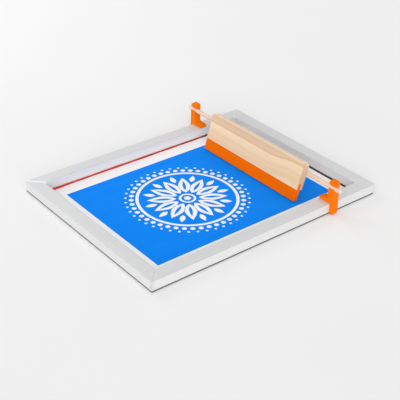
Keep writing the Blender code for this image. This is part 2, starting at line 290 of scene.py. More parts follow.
def loft(loops, closed=False):
    """Closed bmesh through loops of points: capped at its ends, or joined into a ring."""
    shape = bmesh.new()
    rings = [[shape.verts.new(point) for point in loop] for loop in loops]
    for first, second in zip(rings, rings[1:]):
        band(shape, first, second)
    if closed:
        band(shape, rings[-1], rings[0])
    else:
        shape.faces.new(rings[0])
        shape.faces.new(rings[-1])
    return shape


def upright(a, b, along):
    return (a, b, along)


def along_x(a, b, along):
    return (along, a, b)


def along_y(a, b, along):
    return (a, along, b)


def prism(outline, start, end, place):
    """Outline pushed along a third axis; place(a, b, along) gives the point."""
    return loft([[place(a, b, along) for a, b in outline] for along in (start, end)])


def turned(profile, sides, axis):
    """Closed bmesh of a (distance along the axis, radius) profile turned about the X or Y axis."""
    loops = []
    for distance, radius in profile:
        ring = arc((0.0, 0.0), radius, 0.0, 360.0, sides)[:-1]
        if axis == "X":
            loops.append([(distance, a, b) for a, b in ring])
        else:
            loops.append([(a, distance, b) for a, b in ring])
    return loft(loops)


def add_object(name, shape, material=None, place=None):
    """Turn a bmesh into a named object with outward faces, and free the bmesh."""
    bmesh.ops.recalc_face_normals(shape, faces=shape.faces)
    mesh = bpy.data.meshes.new(name)
    shape.to_mesh(mesh)
    shape.free()
    if material:
        mesh.materials.append(material)
    item = bpy.data.objects.new(name, mesh)
    bpy.context.scene.collection.objects.link(item)
    if place:
        item.matrix_world = place
    return item


def bake(item):
    """Replace an object's mesh by the one that its modifiers make."""
    bpy.context.view_layer.update()
    evaluated = item.evaluated_get(bpy.context.evaluated_depsgraph_get())
    mesh = bpy.data.meshes.new_from_object(evaluated)
    item.modifiers.clear()
    item.data = mesh


def combine(item, cutter, operation):
    """Boolean of an object with a cutter, which is used up."""
    modifier = item.modifiers.new(operation.lower(), "BOOLEAN")
    modifier.operation = operation
    modifier.solver = "EXACT"
    modifier.object = cutter
    bake(item)
    bpy.data.objects.remove(cutter, do_unlink=True)


def finish_edges(item, radius=0.0, segments=3, angle=30.0):
    """Round an object's sharp edges and shade it smooth, with flat faces kept flat."""
    if radius:
        bevel = item.modifiers.new("soft_edges", "BEVEL")
        bevel.width = radius
        bevel.segments = segments
        bevel.limit_method = "ANGLE"
        bevel.angle_limit = math.radians(angle)
        bake(item)
    item.data.shade_smooth()
    item.data.set_sharp_from_angle(angle=math.radians(SHARP_ANGLE))
    weighted = item.modifiers.new("flat_faces", "WEIGHTED_NORMAL")
    weighted.keep_sharp = True


# ---------------------------------------------------------------- materials

class Surface:
    """A material whose nodes are added one short call at a time."""

    def __init__(self, name, **sockets):
        self.material = bpy.data.materials.new(name)
        self.material.use_nodes = True
        self.tree = self.material.node_tree
        self.shader = self.tree.nodes["Principled BSDF"]
        for socket, value in sockets.items():
            self.shader.inputs[socket.replace("_", " ")].default_value = value

    def feed(self, socket, value):
        """Link a socket to another one, or give it a plain value."""
        if isinstance(value, bpy.types.NodeSocket):
            self.tree.links.new(value, socket)
        else:
            socket.default_value = value

    def node(self, kind, *inputs, **settings):
        """New node with its first inputs fed in order; None leaves one as it is."""
        item = self.tree.nodes.new(kind)
        for key, value in settings.items():
            setattr(item, key, value)
        for socket, value in zip(item.inputs, inputs):
            if value is not None:
                self.feed(socket, value)
        return item

    def shade(self, name, value):
        self.feed(self.shader.inputs[name], value)

    def point(self, scale=(1.0, 1.0, 1.0), shift=(0.0, 0.0, 0.0)):
        """The piece's own coordinates, stretched."""
        source = self.tree.nodes.new("ShaderNodeTexCoord").outputs["Object"]
        return self.node("ShaderNodeMapping", source, shift, None, scale).outputs[0]

    def parts(self, vector):
        """The X, Y and Z of a vector."""
        return self.node("ShaderNodeSeparateXYZ", vector).outputs

    def maths(self, operation, a, b=0.0, c=0.0):
        return self.node("ShaderNodeMath", a, b, c, operation=operation).outputs[0]

    def noise(self, scale, shift=(0.0, 0.0, 0.0), detail=3.0, roughness=0.5):
        """Noise from 0 to 1, with so many waves to the metre along X, Y and Z."""
        item = self.node("ShaderNodeTexNoise", self.point(scale, shift))
        item.inputs["Scale"].default_value = 1.0
        item.inputs["Detail"].default_value = detail
        item.inputs["Roughness"].default_value = roughness
        return item.outputs[0]

    def threads(self):
        """Waves along X and along Y whose lobes are the mesh's warp and weft."""
        x, y, _ = self.parts(self.point())
        turn = math.pi * MESH_THREADS_PER_METRE
        return [self.maths("SINE", self.maths("MULTIPLY", place, turn)) for place in (x, y)]

    def ramp(self, factor, *stops):
        """Value or colour along stops of (position, value or colour)."""
        item = self.node("ShaderNodeValToRGB", factor)
        elements = item.color_ramp.elements
        while len(elements) < len(stops):
            elements.new(0.5)
        for element, (position, value) in zip(elements, stops):
            colour = value if isinstance(value, tuple) else (value, value, value)
            element.position = position
            element.color = (*colour, 1.0)
        return item.outputs[0]

    def mix(self, factor, a, b):
        """Colour a turned into colour b by a factor."""
        item = self.tree.nodes.new("ShaderNodeMix")
        item.data_type = "RGBA"
        for index, value in ((0, factor), (6, a), (7, b)):
            if isinstance(value, tuple):
                value = (*value, 1.0)
            self.feed(item.inputs[index], value)
        return item.outputs[2]

    def bump(self, height, strength, distance, normal=None):
        """Normal of a relief, laid over another one."""
        item = self.tree.nodes.new("ShaderNodeBump")
        item.inputs["Strength"].default_value = strength
        item.inputs["Distance"].default_value = distance
        self.feed(item.inputs["Height"], height)
        if normal:
            self.feed(item.inputs["Normal"], normal)
        return item.outputs[0]


def aluminium(name, length, shift, ground_and_glint_ends):
    """Satin extrusion with lengthwise die lines and handling marks; painted shade on its top edges
    and outer corners, painted light on its upright faces, and mitres ground bright under a painted
    highlight.

    The last argument says how bright the mitre, ground and with its painted highlight, is at the
    bar's -X end and at its +X end.
    """
    # Painted shade: the grey that darkens the rounded top edges and the rounded outer corners
    painted_shade_grey = (0.58, 0.58, 0.585)
    surface = Surface(name, Metallic=0.4, Specular_IOR_Level=0.15)
    streaks = surface.noise((4.0, 1400.0, 1400.0), shift, detail=4.0, roughness=0.65)
    broad = surface.noise((9.0, 60.0, 60.0), shift)
    marks = surface.noise((70.0, 90.0, 90.0), shift, detail=6.0, roughness=0.7)
    colour = surface.ramp(broad, (0.3, (0.720, 0.723, 0.731)), (0.7, (0.758, 0.760, 0.768)))
    die_lines = surface.ramp(streaks, (0.35, 0.12), (0.65, 0.0))
    colour = surface.mix(die_lines, colour, (0.58, 0.58, 0.59))
    smudges = surface.ramp(marks, (0.56, 0.0), (0.78, 0.18))
    colour = surface.mix(smudges, colour, (0.64, 0.63, 0.62))

    # The long top edges get painted shade, ragged by the handling marks, and the upright faces get
    # painted light, paler than the top
    along, depth, height = surface.parts(surface.point())
    middle = rail_width / 2
    across = surface.maths("ABSOLUTE", surface.maths("SUBTRACT", depth, middle))
    rim = middle + rail_top - RAIL_EDGE_RADIUS
    edge = surface.maths("SUBTRACT", surface.maths("ADD", across, height), rim)
    painted_edge_shade = surface.maths("MULTIPLY_ADD", edge, 500.0, marks)
    colour = surface.mix(surface.ramp(painted_edge_shade, (0.55, 0.0), (0.95, 1.0)), colour, painted_shade_grey)
    # Painted light: the inner and outer upright faces are paler than the top
    share = surface.maths("DIVIDE", depth, rail_width)
    inside = surface.ramp(share, (0.97, 0.0), (0.995, 1.0))
    colour = surface.mix(inside, colour, (0.79, 0.79, 0.775))
    outside = surface.ramp(share, (0.005, 1.0), (0.03, 0.0))
    colour = surface.mix(outside, colour, (0.768, 0.768, 0.768))

    # Reach is the distance from the bar's nearer end, which equals the depth along the mitre
    reach = surface.maths("SUBTRACT", length / 2, surface.maths("ABSOLUTE", along))
    # Painted shade on the rounded outer corners of the frame
    corner = surface.maths("DIVIDE", reach, RAIL_CORNER_RADIUS)
    colour = surface.mix(surface.ramp(corner, (0.80, 0.60), (1.50, 0.0)), colour, painted_shade_grey)
    # Painted highlight: the ground bright mitres are whitened more at some corners than others
    off_mitre = surface.maths("ABSOLUTE", surface.maths("SUBTRACT", reach, depth))
    ragged = surface.maths("MULTIPLY_ADD", marks, 2.0 * MM, off_mitre)
    ground_and_glint = surface.ramp(surface.maths("DIVIDE", ragged, GROUND_AND_GLINT_WIDTH), (0.70, 1.0), (1.0, 0.0))
    which_end = surface.maths("ADD", along, 0.5)
    strength = surface.ramp(which_end, (0.49, ground_and_glint_ends[0]), (0.51, ground_and_glint_ends[1]))
    ground_and_glint = surface.maths("MULTIPLY", ground_and_glint, strength)
    colour = surface.mix(ground_and_glint, colour, (0.98, 0.98, 0.98))

    roughness = surface.maths("MULTIPLY_ADD", streaks, 0.20, 0.44)
    roughness = surface.maths("MULTIPLY_ADD", marks, 0.10, roughness)
    dents = surface.bump(marks, 0.05, 0.2 * MM)
    surface.shade("Base Color", colour)
    surface.shade("Roughness", roughness)
    surface.shade("Normal", surface.bump(streaks, 0.10, 0.05 * MM, dents))
    return surface.material


def nylon():
    """Black moulded nylon of the corner keys."""
    surface = Surface("moulded_nylon", Roughness=0.55)
    grain = surface.noise((900.0, 900.0, 900.0), detail=2.0)
    colour = surface.ramp(grain, (0.3, (0.030, 0.030, 0.032)), (0.7, (0.060, 0.060, 0.064)))
    surface.shade("Base Color", colour)
    surface.shade("Normal", surface.bump(grain, 0.2, 0.1 * MM))
    return surface.material


def polyester():
    """Plain-woven white monofilament, with the warp and weft of the real mesh count."""
    surface = Surface("woven_polyester", Roughness=0.55)
    warp, weft = surface.threads()
    over = surface.maths("MULTIPLY", warp, weft)
    gaps = surface.maths("ABSOLUTE", over)
    cloud = surface.noise((14.0, 14.0, 14.0))
    colour = surface.ramp(cloud, (0.3, (0.930, 0.930, 0.925)), (0.7, (0.960, 0.960, 0.955)))
    colour = surface.mix(surface.ramp(gaps, (0.55, 0.0), (0.95, 0.15)), colour, (0.78, 0.78, 0.79))
    height = surface.maths("MULTIPLY_ADD", over, 0.5, surface.maths("MULTIPLY", gaps, -0.5))
    surface.shade("Base Color", colour)
    surface.shade("Normal", surface.bump(height, 0.25, 0.06 * MM))
    return surface.material


def emulsion():
    """Dried photo emulsion: an even blue film with coating bands and the weave showing through."""
    surface = Surface("blue_emulsion", Specular_IOR_Level=0.03)
    bands = surface.noise((7.0, 45.0, 1.0))
    mottle = surface.noise((160.0, 160.0, 160.0), detail=4.0, roughness=0.6)
    warp, weft = surface.threads()
    weave = surface.maths("MULTIPLY", warp, weft)
    colour = surface.ramp(bands, (0.25, (0.001, 0.225, 0.92)), (0.75, (0.002, 0.262, 0.96)))
    specks = surface.ramp(mottle, (0.60, 0.0), (0.85, 0.25))
    colour = surface.mix(specks, colour, (0.001, 0.190, 0.85))
    surface.shade("Base Color", colour)
    surface.shade("Roughness", surface.maths("MULTIPLY_ADD", mottle, 0.2, 0.36))
    relief = surface.bump(weave, 0.08, 0.05 * MM)
    surface.shade("Normal", surface.bump(mottle, 0.06, 0.1 * MM, relief))
    return surface.material


def frame_glue(name, length, bright, dark, shift):
    """Red frame adhesive, darker from its +X end to its -X end, and painted almost black under the
    rail as shade.
    """
    surface = Surface(name, Coat_Weight=0.15, Coat_Roughness=0.2)
    along, depth, _ = surface.parts(surface.point())
    blotches = surface.noise((45.0, 200.0, 200.0), shift, detail=4.0, roughness=0.6)
    fade = surface.maths("MULTIPLY_ADD", along, 1.6 / length, surface.maths("ADD", blotches, 0.25))
    colour = surface.ramp(fade, (0.0, dark), (1.0, bright))
    # Painted shade: almost black under the rail and down the lip, for the dark line along the floor
    under = surface.ramp(surface.maths("DIVIDE", depth, rail_width), (0.5, 1.0), (0.9, 0.0))
    colour = surface.mix(under, colour, (0.055, 0.050, 0.052))
    surface.shade("Base Color", colour)
    surface.shade("Roughness", surface.maths("MULTIPLY_ADD", blotches, 0.2, 0.30))
    surface.shade("Normal", surface.bump(blotches, 0.3, 0.3 * MM))
    return surface.material


def printed_plastic():
    """Orange plastic laid down in fine layers."""
    layer_height = 0.2 * MM
    surface = Surface(
        "orange_plastic", Subsurface_Weight=0.1, Subsurface_Scale=1.0 * MM, Specular_IOR_Level=0.03)
    _, _, height = surface.parts(surface.point())
    layers = surface.maths("SINE", surface.maths("MULTIPLY", height, 2.0 * math.pi / layer_height))
    cloud = surface.noise((120.0, 120.0, 120.0), detail=4.0)
    fine = surface.noise((30.0, 30.0, 5000.0), detail=2.0)
    colour = surface.ramp(cloud, (0.3, (0.85, 0.158, 0.001)), (0.7, (0.91, 0.198, 0.002)))
    surface.shade("Base Color", colour)
    surface.shade("Roughness", surface.maths("MULTIPLY_ADD", fine, 0.25, 0.30))
    relief = surface.bump(fine, 0.10, 0.05 * MM)
    surface.shade("Normal", surface.bump(layers, 0.10, 0.04 * MM, relief))
    return surface.material


def pine():
    """Planed pine: smooth cream wood, with one dark growth ring that bows up towards an end, where
    it is painted shade under the top edge, and a painted highlight along the top.
    """
    surface = Surface("planed_pine", Specular_IOR_Level=0.2)
    across, along, up = surface.parts(surface.point())

    # Height in the board, bent by the ring's bow and by a slow wander, picks the growth ring; where
    # it bows, the dark ring is painted shade under the top edge
    wander = surface.noise((30.0, 7.0, 40.0), detail=2.0)
    bow = surface.node(
        "ShaderNodeMapRange", along, PINE_BOW_START, PINE_BOW_END, 0.0, PINE_BOW,
        interpolation_type="SMOOTHSTEP").outputs[0]
    rings = surface.maths("SUBTRACT", up, bow)
    rings = surface.maths("MULTIPLY_ADD", wander, 3.0 * MM, rings)
    rings = surface.maths("MULTIPLY_ADD", across, -0.8, rings)
    colour = surface.ramp(surface.maths("DIVIDE", rings, PINE_RING_SPAN), *PINE_RINGS)

    # Warmer towards one end, then streaks, fibres and soft patches
    warmth = 0.14
    warm = surface.maths("MULTIPLY_ADD", along, -warmth / squeegee_length, warmth / 2)
    colour = surface.mix(warm, colour, (0.630, 0.480, 0.120))
    streaks = surface.noise((260.0, 6.0, 260.0), roughness=0.6)
    colour = surface.mix(
        surface.ramp(streaks, (0.48, 0.0), (0.70, 0.30)), colour, (0.720, 0.530, 0.360))
    fibres = surface.noise((1500.0, 22.0, 1500.0), detail=4.0, roughness=0.7)
    colour = surface.mix(
        surface.ramp(fibres, (0.48, 0.0), (0.78, 0.20)), colour, (0.640, 0.440, 0.270))
    patches = surface.noise((50.0, 16.0, 90.0), (0.31, 0.12, 0.0))
    colour = surface.mix(
        surface.ramp(patches, (0.54, 0.0), (0.70, 0.35)), colour, (0.740, 0.530, 0.400))

    # Painted highlight along the top edge, and darker end grain
    rim = surface.ramp(surface.maths("DIVIDE", up, HANDLE_TOP), (0.970, 0.0), (0.990, 0.75))
    colour = surface.mix(rim, colour, (0.840, 0.690, 0.540))
    end = surface.maths("DIVIDE", surface.maths("ABSOLUTE", along), squeegee_length / 2)
    colour = surface.mix(
        surface.ramp(end, (0.993, 0.0), (0.999, 0.8)), colour, (0.560, 0.400, 0.265))

    surface.shade("Base Color", colour)
    surface.shade("Roughness", surface.maths("MULTIPLY_ADD", fibres, 0.25, 0.50))
    relief = surface.bump(streaks, 0.04, 0.2 * MM)
    surface.shade("Normal", surface.bump(fibres, 0.12, 0.1 * MM, relief))
    return surface.material


def dowel_wood():
    """Pale close-grained dowel, with short dark flecks and rings on its ends."""
    ring_width = 1.7 * MM
    pale = (0.850, 0.640, 0.500)
    surface = Surface("pale_dowel", Specular_IOR_Level=0.35)
    x, _, z = surface.parts(surface.point())
    wander = surface.noise((90.0, 6.0, 90.0))
    rings = surface.maths("ADD", z, surface.maths("MULTIPLY", x, 0.5))
    rings = surface.maths("MULTIPLY_ADD", wander, 3.0 * MM, rings)
    phase = surface.maths("FRACT", surface.maths("DIVIDE", rings, ring_width))
    colour = surface.ramp(
        phase, (0.0, pale), (0.7, (0.810, 0.590, 0.430)), (0.92, (0.700, 0.480, 0.330)),
        (1.0, pale))
    fibres = surface.noise((2200.0, 30.0, 2200.0), detail=4.0, roughness=0.7)
    colour = surface.mix(
        surface.ramp(fibres, (0.5, 0.0), (0.8, 0.3)), colour, (0.600, 0.410, 0.270))
    surface.shade("Base Color", colour)
    surface.shade("Roughness", surface.maths("MULTIPLY_ADD", fibres, 0.25, 0.42))
    surface.shade("Normal", surface.bump(fibres, 0.15, 0.08 * MM))
    return surface.material


def blade_rubber():
    """Cast orange polyurethane, slightly translucent, with a fine cast skin."""
    surface = Surface(
        "orange_rubber", Subsurface_Weight=0.1, Subsurface_Scale=1.0 * MM, Specular_IOR_Level=0.02)
    cloud = surface.noise((30.0, 10.0, 60.0), detail=4.0)
    skin = surface.noise((900.0, 300.0, 900.0))
    colour = surface.ramp(cloud, (0.3, (0.880, 0.133, 0.000)), (0.7, (0.940, 0.163, 0.001)))
    surface.shade("Base Color", colour)
    surface.shade("Roughness", surface.maths("MULTIPLY_ADD", skin, 0.2, 0.38))
    surface.shade("Normal", surface.bump(skin, 0.10, 0.08 * MM))
    return surface.material


def zinc():
    """Bright zinc plate of the screws."""
    surface = Surface("zinc_plate", Metallic=1.0)
    cloud = surface.noise((900.0, 900.0, 900.0), detail=4.0)
    colour = surface.ramp(cloud, (0.3, (0.56, 0.56, 0.54)), (0.7, (0.72, 0.71, 0.68)))
    surface.shade("Base Color", colour)
    surface.shade("Roughness", surface.maths("MULTIPLY_ADD", cloud, 0.3, 0.22))
    return surface.material


def floor_paper():
    """Smooth white paper sweep."""
    surface = Surface("white_sweep", Roughness=0.85, Specular_IOR_Level=0.2)
    cloud = surface.noise((3.0, 3.0, 3.0), detail=2.0)
    colour = surface.ramp(cloud, (0.3, (0.870, 0.870, 0.870)), (0.7, (0.885, 0.885, 0.885)))
    surface.shade("Base Color", colour)
    return surface.material


# ---------------------------------------------------------------- camera, floor and light

def build_camera():
    """Camera that looks along its azimuth, from +Y towards +X, and down by its elevation."""
    azimuth = math.radians(CAMERA_AZIMUTH)
    elevation = math.radians(CAMERA_ELEVATION)
    forward = Vector((
        math.sin(azimuth) * math.cos(elevation), math.cos(azimuth) * math.cos(elevation),
        -math.sin(elevation)))
    level = forward.cross(Vector((0.0, 0.0, 1.0))).normalized()
    roll = Matrix.Rotation(-math.radians(CAMERA_ROLL), 3, forward)
    right = roll @ level
    up = right.cross(forward)
    turn = Matrix((right, up, -forward)).transposed().to_4x4()
    camera = bpy.data.objects.new("camera", bpy.data.cameras.new("camera"))
    camera.data.lens = CAMERA_LENS
    camera.data.clip_start, camera.data.clip_end = CAMERA_CLIP
    camera.matrix_world = Matrix.Translation(CAMERA_PLACE) @ turn
    bpy.context.scene.collection.objects.link(camera)
    bpy.context.scene.camera = camera


def build_floor():
    shape = bmesh.new()
    bmesh.ops.create_grid(shape, x_segments=8, y_segments=8, size=FLOOR_SIZE / 2)
    floor = add_object("floor", shape, floor_paper(), Matrix.Translation((0.0, 0.0, -FLOOR_DROP)))


def add_softbox(name, place, target, size, power):
    light = bpy.data.lights.new(name, "AREA")
    light.shape = "DISK"
    light.size = size
    light.energy = power
    item = bpy.data.objects.new(name, light)
    turn = (Vector(target) - Vector(place)).to_track_quat("-Z", "Y").to_matrix().to_4x4()
    item.matrix_world = Matrix.Translation(place) @ turn
    bpy.context.scene.collection.objects.link(item)


def build_light():
    """Even white surroundings, and the softboxes."""
    world = bpy.data.worlds.new("studio")
    world.use_nodes = True
    background = world.node_tree.nodes["Background"]
    background.inputs["Color"].default_value = (1.0, 1.0, 1.0, 1.0)
    background.inputs["Strength"].default_value = WORLD_STRENGTH
    bpy.context.scene.world = world
    for name, settings in SOFTBOXES.items():
        add_softbox(name, *settings)
    view = bpy.context.scene.view_settings
    view.view_transform = "Standard"
    view.look = "None"


# ---------------------------------------------------------------- frame

def side_matrix(side):
    """Place of a bar modelled along the near long side, for each of the four sides."""
    turn, shift = {
        "near": (0.0, (0.0, -frame_width / 2)),
        "right": (90.0, (frame_length / 2, 0.0)),
        "far": (180.0, (0.0, frame_width / 2)),
        "left": (-90.0, (-frame_length / 2, 0.0)),
    }[side]
    return Matrix.Translation((*shift, 0.0)) @ Matrix.Rotation(math.radians(turn), 4, "Z")


def mitre_loop(points, length, share):
    """Section of a bar along X, as (depth, height), put at a share of the way to its cut ends."""
    return [(share * (length / 2 - depth - MITRE_GAP), depth, height) for depth, height in points]


def mitred_tube(outline, cavity, length):
    """Hollow bar along X with ends cut at 45 degrees; the outlines hold (depth, height) points."""
    loops = [
        mitre_loop(outline, length, -1.0),
        mitre_loop(outline, length, 1.0),
        mitre_loop(cavity, length, 1.0),
        mitre_loop(cavity, length, -1.0),
    ]
    return loft(loops, closed=True)


def build_rails():
    """Four hollow rails, mitred, and cut to the frame's plan so that its corners are round."""
    plan = rounded_rectangle(
        (-frame_length / 2, -frame_width / 2), (frame_length / 2, frame_width / 2),
        RAIL_CORNER_RADIUS, RAIL_CORNER_SEGMENTS)
    outline = rounded_rectangle(
        (0.0, rail_base), (rail_width, rail_top), RAIL_EDGE_RADIUS, EDGE_SEGMENTS)
    cavity = rounded_rectangle(
        (RAIL_WALL, rail_base + RAIL_WALL), (rail_width - RAIL_WALL, rail_top - RAIL_WALL),
        RAIL_CAVITY_RADIUS, EDGE_SEGMENTS)
    for index, (side, length) in enumerate(SIDE_LENGTHS.items()):
        shift = tuple(index * step for step in RAIL_GRAIN_SHIFT)
        material = aluminium(f"satin_aluminium_{side}", length, shift, GROUND_AND_GLINT_ENDS[side])
        tube = mitred_tube(outline, cavity, length)
        rail = add_object(f"{side}_rail", tube, material, side_matrix(side))
        envelope = add_object("envelope", prism(plan, 0.0, 2 * rail_top, upright))
        combine(rail, envelope, "INTERSECT")
        finish_edges(rail, MITRE_SOFTENING, segments=2, angle=35.0)
        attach(rail, "frame")
        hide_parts(f"rail_{side}")


def finish_corner_keys():
    """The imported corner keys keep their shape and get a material."""
    material = nylon()
    for name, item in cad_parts.items():
        if name.startswith("corner_key"):
            item.data.materials.clear()
            item.data.materials.append(material)


def glue_section(offset, length, seed):
    """Section of the glue at one place along a side: a thin layer under the rail, and its bead.

    The layer's outer lip hangs down past the edge of the mesh, near the floor, and its near-black
    colour is painted shade along the foot of the frame.
    """
    low = mesh_high.z + CLEARANCE
    wobble = noise.noise(Vector((offset * 70.0, seed, 0.0)))
    ripple = noise.noise(Vector((offset * 260.0, seed, 5.0)))
    swell = noise.noise(Vector((offset * 50.0, seed, 9.0)))
    end = math.exp((offset - length / 2) / GLUE_END_LUMP)
    toe = GLUE_TOE * (1.0 + 0.45 * wobble + 0.15 * ripple + end)
    top = rail_base - CLEARANCE
    height = top - low + GLUE_RISE * (1.0 + 0.35 * swell + 0.1 * ripple)
    back = rail_width + GLUE_TO_RAIL
    lip = mesh_inset - CLEARANCE
    points = [(GLUE_INSET, GLUE_LIP_BASE), (lip, GLUE_LIP_BASE), (lip, low)]
    for across, up in arc((0.0, 0.0), 1.0, 0.0, 90.0, EDGE_SEGMENTS):
        points.append((back + toe * across ** GLUE_ROUNDNESS, low + height * up ** GLUE_ROUNDNESS))
    points.append((back, top))
    points.append((GLUE_INSET, top))
    return points


def build_glue():
    """A strip of glue along each side, swollen at its +X end; the right one is darkest, with
    painted shade.
    """
    red = (0.560, 0.022, 0.026)
    maroon = (0.120, 0.008, 0.014)
    painted_shade_purple = (0.040, 0.006, 0.014)
    for seed, (side, length) in enumerate(SIDE_LENGTHS.items()):
        count = round(length / GLUE_STEP)
        loops = []
        for step in range(count + 1):
            share = 2.0 * step / count - 1.0
            section = glue_section(share * length / 2, length, seed * GLUE_SEED_STEP)
            loops.append(mitre_loop(section, length, share))
        # The right strip is painted dark purple all along, as shade
        bright, dark = (painted_shade_purple, painted_shade_purple) if side == "right" else (red, maroon)
        shift = (seed * GLUE_BLOTCH_SHIFT, 0.0, 0.0)
        material = frame_glue(f"frame_glue_{side}", length, bright, dark, shift)
        bead = add_object(f"{side}_glue_bead", loft(loops), material, side_matrix(side))
        finish_edges(bead)
        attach(bead, "frame")
        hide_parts(f"glue_line_{side}")


def build_mesh():
    """Stretched fabric between the film's two faces, glued under the rails."""
    low = (mesh_low.x, mesh_low.y)
    high = (mesh_high.x, mesh_high.y)
    bottom = mesh_low.z + FILM_UNDERSIDE + MESH_TO_FILM
    top = film_low.z - MESH_TO_FILM
    plan = rounded_rectangle(low, high, MESH_CORNER_RADIUS, EDGE_SEGMENTS)
    fabric = add_object("woven_mesh", prism(plan, bottom, top, upright), polyester())
    finish_edges(fabric)
    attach(fabric, "frame")
    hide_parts("screen_mesh")


def polar(radius, angle):
    """Point at a distance and angle from the middle of the ornament."""
    x, y = ORNAMENT_CENTRE
    return (x + radius * math.cos(angle), y + radius * math.sin(angle))


def circle(radius, count, centre=ORNAMENT_CENTRE):
    return arc(centre, radius, 0.0, 360.0, count)[:-1]


def petal(angle, start, end, width):
    """Pointed leaf along a radius of the ornament."""
    points = []
    for side in (1.0, -1.0):
        for step in range(LEAF_STEPS):
            share = step / LEAF_STEPS if side > 0 else 1.0 - step / LEAF_STEPS
            reach = start + (end - start) * share
            sway = side * 0.5 * width * math.sin(math.pi * share ** 0.85)
            points.append(polar(math.hypot(reach, sway), angle + math.atan2(sway, reach)))
    return points


def ornament():
    """Generic beaded rosette, as closed outlines that turn the film on and off by turns."""
    outlines = [circle(RING_OUTER, RING_POINTS), circle(RING_INNER, RING_POINTS)]
    for index in range(BEAD_COUNT):
        angle = 2.0 * math.pi * index / BEAD_COUNT
        half_step = math.pi / BEAD_COUNT
        outlines.append(circle(BEAD_RADIUS, BEAD_POINTS, polar(BEAD_CIRCLE, angle)))
        between = polar(SMALL_BEAD_CIRCLE, angle + half_step)
        outlines.append(circle(SMALL_BEAD_RADIUS, SMALL_BEAD_POINTS, between))
    for index in range(PETAL_COUNT):
        angle = 2.0 * math.pi * index / PETAL_COUNT
        half_step = math.pi / PETAL_COUNT
        outlines.append(petal(angle, *PETAL))
        outlines.append(petal(angle, *PETAL_HEART))
        outlines.append(petal(angle + half_step, *SMALL_LEAF))
    outlines += [circle(radius, count) for radius, count in HUB_CIRCLES]
    return outlines


def film_layer(name, outlines, low, high):
    """Closed sheet between two heights, filled by turns inside its outlines."""
    curve = bpy.data.curves.new(name, "CURVE")
    curve.dimensions = "2D"
    curve.fill_mode = "BOTH"
    curve.extrude = (high - low) / 2
    for outline in outlines:
        spline = curve.splines.new("POLY")
        spline.points.add(len(outline) - 1)
        for point, (x, y) in zip(spline.points, outline):
            point.co = (x, y, 0.0, 1.0)
        spline.use_cyclic_u = True
    item = bpy.data.objects.new(name, curve)
    bpy.context.scene.collection.objects.link(item)
    bpy.context.view_layer.update()
    evaluated = item.evaluated_get(bpy.context.evaluated_depsgraph_get())
    mesh = bpy.data.meshes.new_from_object(evaluated)
    bpy.data.objects.remove(item, do_unlink=True)
    shape = bmesh.new()
    shape.from_mesh(mesh)
    bmesh.ops.remove_doubles(shape, verts=shape.verts, dist=FILM_WELD)
    bmesh.ops.translate(shape, verts=shape.verts, vec=(0.0, 0.0, (low + high) / 2))
    return shape


def build_film():
    """The stencil: a film above and below the mesh, open where the ink goes through."""
    low = (film_low.x, film_low.y)
    high = (film_high.x, film_high.y)
    edge = rounded_rectangle(low, high, FILM_CORNER_RADIUS, FILM_CORNER_SEGMENTS)
    outlines = [edge, *ornament()]
    shape = film_layer("film_top", outlines, film_low.z, film_high.z)
    under = film_layer("film_under", outlines, mesh_low.z, mesh_low.z + FILM_UNDERSIDE)
    spare = bpy.data.meshes.new("film_under")
    under.to_mesh(spare)
    under.free()
    shape.from_mesh(spare)
    film = add_object("emulsion_film", shape, emulsion())
    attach(film, "frame")
    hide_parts("emulsion_stencil")


# ---------------------------------------------------------------- rest

def build_dowel():
    """Round dowel with rubbed ends, and a little wear along its length."""
    tip = DOWEL_TIP_RADIUS
    half = dowel_length / 2 - tip
    rounding = arc((0.0, 0.0), tip, 0.0, 90.0, DOWEL_TIP_SEGMENTS)
    profile = [(-half - a, dowel_radius - tip + b) for a, b in rounding]
    for step in range(1, DOWEL_STATIONS):
        y = -half + 2 * half * step / DOWEL_STATIONS
        wear = DOWEL_WEAR * noise.noise(Vector((y * 40.0, 0.0, 3.0)))
        profile.append((y, dowel_radius - abs(wear)))
    profile += [(half + b, dowel_radius - tip + a) for a, b in rounding]
    shape = turned(profile, DOWEL_SIDES, "Y")
    dowel = add_object("wooden_dowel", shape, dowel_wood(), Matrix.Translation(dowel_centre))
    finish_edges(dowel)
    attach(dowel, "dowel")
    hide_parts("dowel")


def hook_front_view(low, high):
    """Outline of a hook in (x, z): a leg, and a beak that curls over the dowel from behind.

    The mouth of the socket faces forwards and up, and widens towards the front.
    """
    leg = HOOK_LEG_RADIUS
    head = HOOK_HEAD_RADIUS
    beak = HOOK_BEAK_RADIUS
    beak_front = low.x + HOOK_BEAK_SETBACK
    beak_top = high.z - HOOK_BEAK_FALL
    points = arc((high.x - leg, low.z + leg), leg, -90.0, 0.0, HOOK_LEG_SEGMENTS)
    points += arc((high.x - head, high.z - head), head, 0.0, 90.0, EDGE_SEGMENTS)
    points += arc(
        (beak_front + beak, beak_top - beak), beak, 90.0, 180.0, HOOK_BEAK_SEGMENTS)
    points.append((beak_front, beak_top - HOOK_BEAK_HEIGHT))
    points += arc(
        (dowel_centre.x, dowel_centre.z), dowel_radius + CLEARANCE, HOOK_UPPER_LIP_ANGLE,
        HOOK_LOWER_LIP_ANGLE - 360.0, HOOK_SOCKET_SEGMENTS)
    points.append((low.x, points[-1][1] - HOOK_LIP_BEVEL))
    points += arc((low.x + leg, low.z + leg), leg, 180.0, 270.0, HOOK_LEG_SEGMENTS)
    return points


